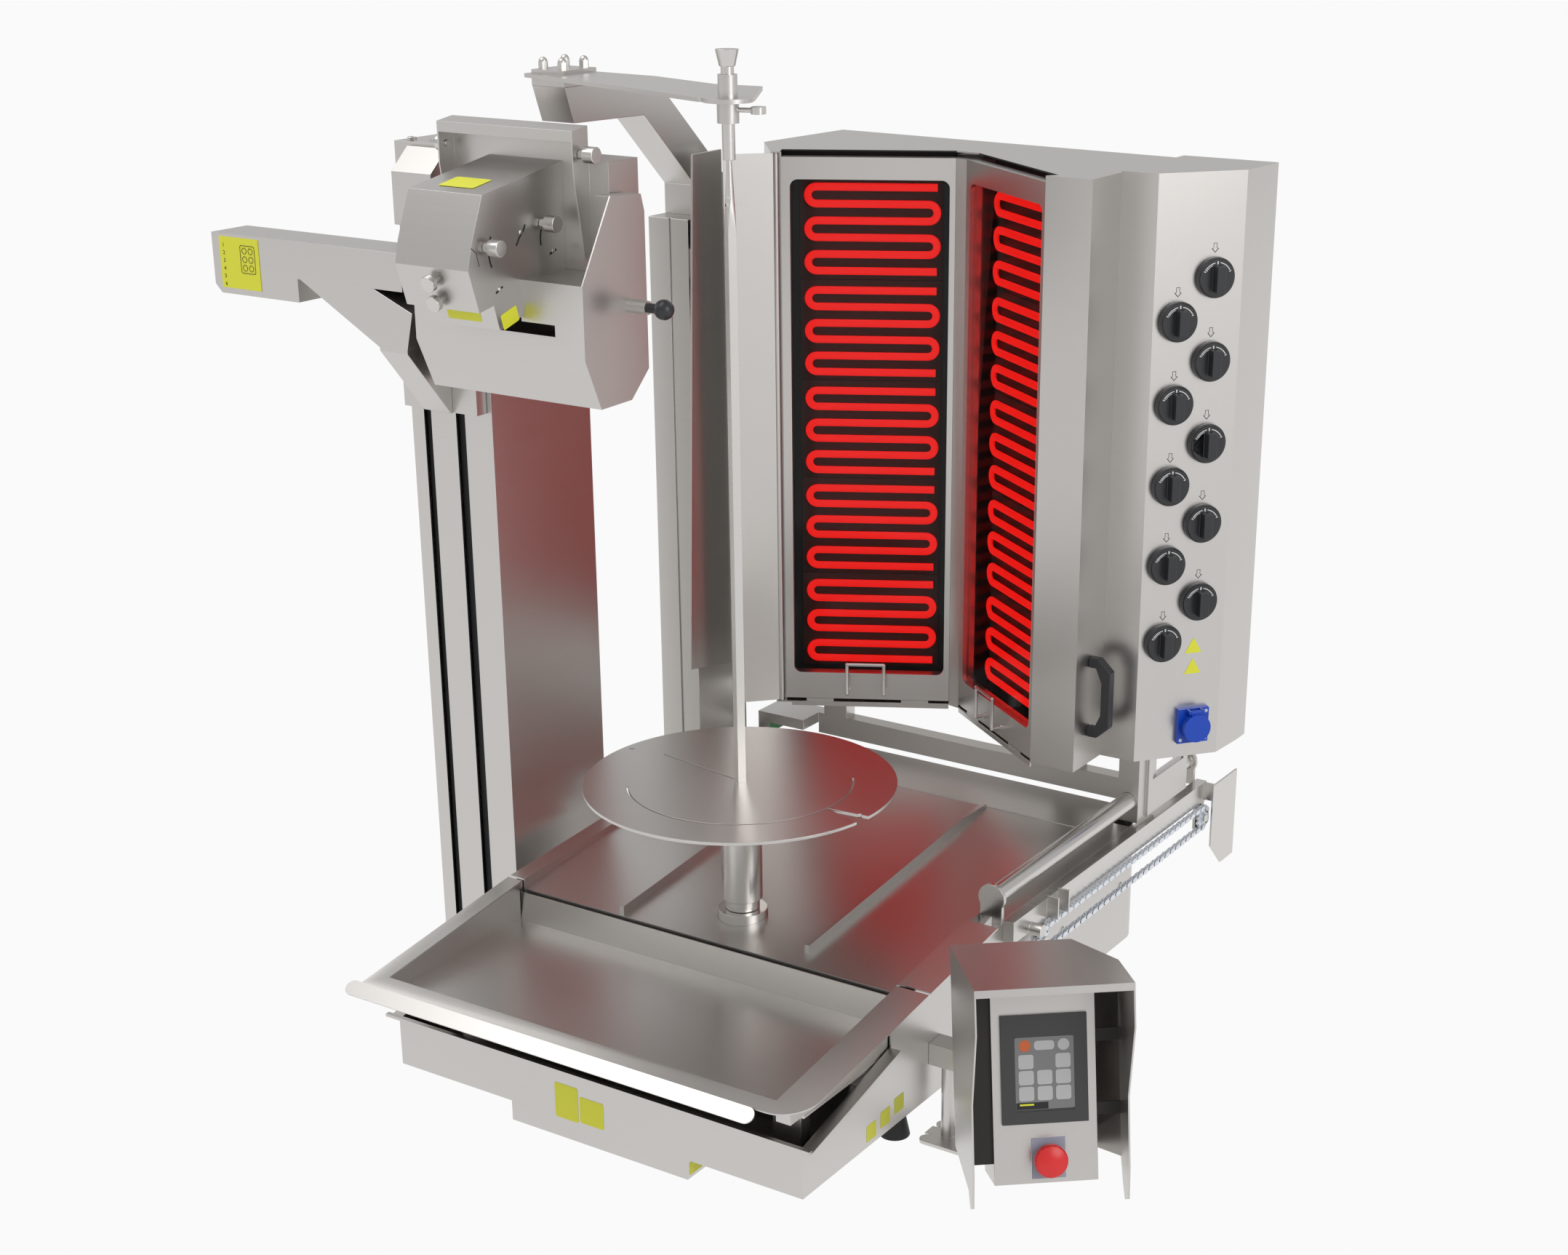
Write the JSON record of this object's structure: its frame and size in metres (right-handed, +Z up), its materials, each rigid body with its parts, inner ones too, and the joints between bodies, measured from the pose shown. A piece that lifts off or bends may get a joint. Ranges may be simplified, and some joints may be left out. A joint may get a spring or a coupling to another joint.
{
  "type": "doner grill with cutting robot",
  "caption": "Upright doner grill: turning spit on a tray base, glazed V-shaped electric heater on a slide, lift column with a cutting head, and a touch panel station.",
  "frame": {"origin": "centre of the front right rubber foot on the floor", "axes": "+X to the right, +Y to the back, +Z up"},
  "size_m": [1.3614, 1.1982, 1.312],
  "materials": {
    "sheet_steel": "fine brushed stainless steel",
    "machined_steel": "turned and ground steel",
    "chain_steel": "bright plated steel",
    "rubber": "matte black rubber",
    "dark_glass": "clear ceramic glass",
    "glowing_element": "red hot tube",
    "black_plastic": "satin black plastic",
    "red_plastic": "glossy red plastic",
    "blue_plastic": "blue plastic",
    "yellow_label": "yellow printed film"
  },
  "bodies": {
    "base": {"casing": "sheet_steel", "base_frame": "sheet_steel", "rear_tray": "sheet_steel", "spit_collar": "machined_steel", "feet": "rubber", "slide_rail": "machined_steel", "drive_chain": "chain_steel", "lift_column": "sheet_steel", "rear_column": "sheet_steel", "gooseneck": "sheet_steel", "arm_plate": "machined_steel", "hmi_bracket": "sheet_steel", "hmi_hood": "sheet_steel", "hmi_box": "sheet_steel", "hmi_bezel": "black_plastic"},
    "front_tray": {"front_tray": "sheet_steel"},
    "sprocket_front": {"sprocket_front": "chain_steel"},
    "sprocket_rear": {"sprocket_rear": "chain_steel"},
    "lift_pin": {"lift_pin": "machined_steel"},
    "wing_screw": {"wing_screw": "machined_steel"},
    "spit": {"spit_post": "machined_steel", "spit_disc": "sheet_steel", "spit_bar": "machined_steel"},
    "carriage": {"carriage": "sheet_steel", "console_arm": "sheet_steel", "key_plate": "yellow_label"},
    "head": {"head_housing": "sheet_steel", "trough": "sheet_steel", "back_shield": "sheet_steel"},
    "blade": {"blade": "machined_steel"},
    "button_upper": {"button_upper": "machined_steel"},
    "button_lower": {"button_lower": "machined_steel"},
    "side_knob_front": {"side_knob_front": "machined_steel"},
    "side_knob_rear": {"side_knob_rear": "machined_steel"},
    "shield_knob_left": {"shield_knob_left": "machined_steel"},
    "shield_knob_right": {"shield_knob_right": "machined_steel"},
    "plunger": {"plunger": "black_plastic"},
    "heater": {"heater_shell": "sheet_steel", "heater_beam": "sheet_steel", "elements": "glowing_element", "side_handle": "black_plastic", "control_box": "sheet_steel", "socket_base": "blue_plastic"},
    "left_wing": {"left_wing": "sheet_steel"},
    "door_left": {"door_left": "sheet_steel", "glass_left": "dark_glass"},
    "door_right": {"door_right": "sheet_steel", "glass_right": "dark_glass"},
    "socket_lid": {"socket_lid": "blue_plastic"},
    "stop_button": {"stop_button": "red_plastic"},
    "knob_1": {"knob_1": "black_plastic"},
    "knob_2": {"knob_2": "black_plastic"},
    "knob_3": {"knob_3": "black_plastic"},
    "knob_4": {"knob_4": "black_plastic"},
    "knob_5": {"knob_5": "black_plastic"},
    "knob_6": {"knob_6": "black_plastic"},
    "knob_7": {"knob_7": "black_plastic"},
    "knob_8": {"knob_8": "black_plastic"},
    "knob_9": {"knob_9": "black_plastic"},
    "knob_10": {"knob_10": "black_plastic"}
  },
  "joints": [
    {"name": "tray_slide", "type": "slide", "parent": "base", "child": "front_tray", "axis": [0, -1, 0], "range_m": [0, 0.2]},
    {"name": "spit_spin", "type": "hinge", "parent": "base", "child": "spit", "pos_m": [-0.268, 0.054, 0.3], "axis": [0, 0, 1], "continuous": true},
    {"name": "pin_lift", "type": "slide", "parent": "base", "child": "lift_pin", "axis": [0, 0, 1], "range_m": [0, 0.035]},
    {"name": "wing_turn", "type": "hinge", "parent": "base", "child": "wing_screw", "pos_m": [-0.268, 0.054, 1.244], "axis": [0.9397, 0.342, 0], "range_deg": [-180, 180]},
    {"name": "carriage_lift", "type": "slide", "parent": "base", "child": "carriage", "axis": [0, 0, 1], "range_m": [-0.42, 0]},
    {"name": "head_feed", "type": "slide", "parent": "carriage", "child": "head", "axis": [1, 0, 0], "range_m": [0, 0.06]},
    {"name": "blade_spin", "type": "hinge", "parent": "head", "child": "blade", "pos_m": [-0.418, -0.003, 0.995], "axis": [1, 0, 0], "continuous": true},
    {"name": "button_upper_press", "type": "slide", "parent": "head", "child": "button_upper", "axis": [0, 0.9543, 0.2988], "range_m": [0, 0.006], "stiffness_N_per_m": 350, "springref_m": -0.004},
    {"name": "button_lower_press", "type": "slide", "parent": "head", "child": "button_lower", "axis": [0, 0.9543, 0.2988], "range_m": [0, 0.006], "stiffness_N_per_m": 350, "springref_m": -0.004},
    {"name": "side_knob_front_turn", "type": "hinge", "parent": "head", "child": "side_knob_front", "pos_m": [-0.487, -0.13196, 1.09201], "axis": [1, 0, 0], "range_deg": [-180, 180]},
    {"name": "side_knob_rear_turn", "type": "hinge", "parent": "head", "child": "side_knob_rear", "pos_m": [-0.487, -0.02796, 1.10699], "axis": [1, 0, 0], "range_deg": [-180, 180]},
    {"name": "shield_knob_left_turn", "type": "hinge", "parent": "head", "child": "shield_knob_left", "pos_m": [-0.658, 0.001, 1.187], "axis": [-1, 0, 0], "range_deg": [-180, 180]},
    {"name": "shield_knob_right_turn", "type": "hinge", "parent": "head", "child": "shield_knob_right", "pos_m": [-0.447, 0.001, 1.187], "axis": [1, 0, 0], "range_deg": [-180, 180]},
    {"name": "plunger_pull", "type": "slide", "parent": "head", "child": "plunger", "axis": [1, 0, 0], "range_m": [0, 0.008], "stiffness_N_per_m": 500, "springref_m": -0.004},
    {"name": "heater_slide", "type": "slide", "parent": "base", "child": "heater", "axis": [0, 1, 0], "range_m": [-0.28, 0]},
    {"name": "sprocket_front_spin", "type": "hinge", "parent": "base", "child": "sprocket_front", "pos_m": [0.062, 0.267, 0.18], "axis": [1, 0, 0], "range_deg": [-1200, 1200]},
    {"name": "sprocket_rear_spin", "type": "hinge", "parent": "base", "child": "sprocket_rear", "pos_m": [0.062, 0.767, 0.18], "axis": [1, 0, 0], "range_deg": [-1200, 1200]},
    {"name": "wing_swing", "type": "hinge", "parent": "heater", "child": "left_wing", "pos_m": [-0.49817, 0.4887, 0.74], "axis": [0, 0, 1], "range_deg": [-40, 30]},
    {"name": "door_left_lift", "type": "slide", "parent": "heater", "child": "door_left", "axis": [0, 0, 1], "range_m": [0, 0.11]},
    {"name": "door_right_lift", "type": "slide", "parent": "heater", "child": "door_right", "axis": [0, 0, 1], "range_m": [0, 0.11]},
    {"name": "knob_1_turn", "type": "hinge", "parent": "heater", "child": "knob_1", "pos_m": [0.10777, 0.60654, 1.005], "axis": [0.7683, -0.6401, 0], "range_deg": [-270, 0]},
    {"name": "knob_2_turn", "type": "hinge", "parent": "heater", "child": "knob_2", "pos_m": [0.07576, 0.56812, 0.9501], "axis": [0.7683, -0.6401, 0], "range_deg": [-270, 0]},
    {"name": "knob_3_turn", "type": "hinge", "parent": "heater", "child": "knob_3", "pos_m": [0.10777, 0.60654, 0.8952], "axis": [0.7683, -0.6401, 0], "range_deg": [-270, 0]},
    {"name": "knob_4_turn", "type": "hinge", "parent": "heater", "child": "knob_4", "pos_m": [0.07576, 0.56812, 0.8403], "axis": [0.7683, -0.6401, 0], "range_deg": [-270, 0]},
    {"name": "knob_5_turn", "type": "hinge", "parent": "heater", "child": "knob_5", "pos_m": [0.10777, 0.60654, 0.7854], "axis": [0.7683, -0.6401, 0], "range_deg": [-270, 0]},
    {"name": "knob_6_turn", "type": "hinge", "parent": "heater", "child": "knob_6", "pos_m": [0.07576, 0.56812, 0.7305], "axis": [0.7683, -0.6401, 0], "range_deg": [-270, 0]},
    {"name": "knob_7_turn", "type": "hinge", "parent": "heater", "child": "knob_7", "pos_m": [0.10777, 0.60654, 0.6756], "axis": [0.7683, -0.6401, 0], "range_deg": [-270, 0]},
    {"name": "knob_8_turn", "type": "hinge", "parent": "heater", "child": "knob_8", "pos_m": [0.07576, 0.56812, 0.6207], "axis": [0.7683, -0.6401, 0], "range_deg": [-270, 0]},
    {"name": "knob_9_turn", "type": "hinge", "parent": "heater", "child": "knob_9", "pos_m": [0.10777, 0.60654, 0.5658], "axis": [0.7683, -0.6401, 0], "range_deg": [-270, 0]},
    {"name": "knob_10_turn", "type": "hinge", "parent": "heater", "child": "knob_10", "pos_m": [0.07576, 0.56812, 0.5109], "axis": [0.7683, -0.6401, 0], "range_deg": [-270, 0]},
    {"name": "lid_swing", "type": "hinge", "parent": "heater", "child": "socket_lid", "pos_m": [0.12006, 0.59629, 0.4095], "axis": [0.6401, 0.7683, 0], "range_deg": [-100, 0], "stiffness_Nm_per_rad": 0.02, "springref_deg": 34.38},
    {"name": "stop_press", "type": "slide", "parent": "base", "child": "stop_button", "axis": [-0.6096, 0.7475, -0.2639], "range_m": [0, 0.004], "stiffness_N_per_m": 900, "springref_m": -0.003}
  ],
  "couplings": [
    {"joint": "sprocket_front_spin", "follows": "heater_slide", "rad_per_m": -64.705},
    {"joint": "sprocket_rear_spin", "follows": "heater_slide", "rad_per_m": -64.705}
  ]
}
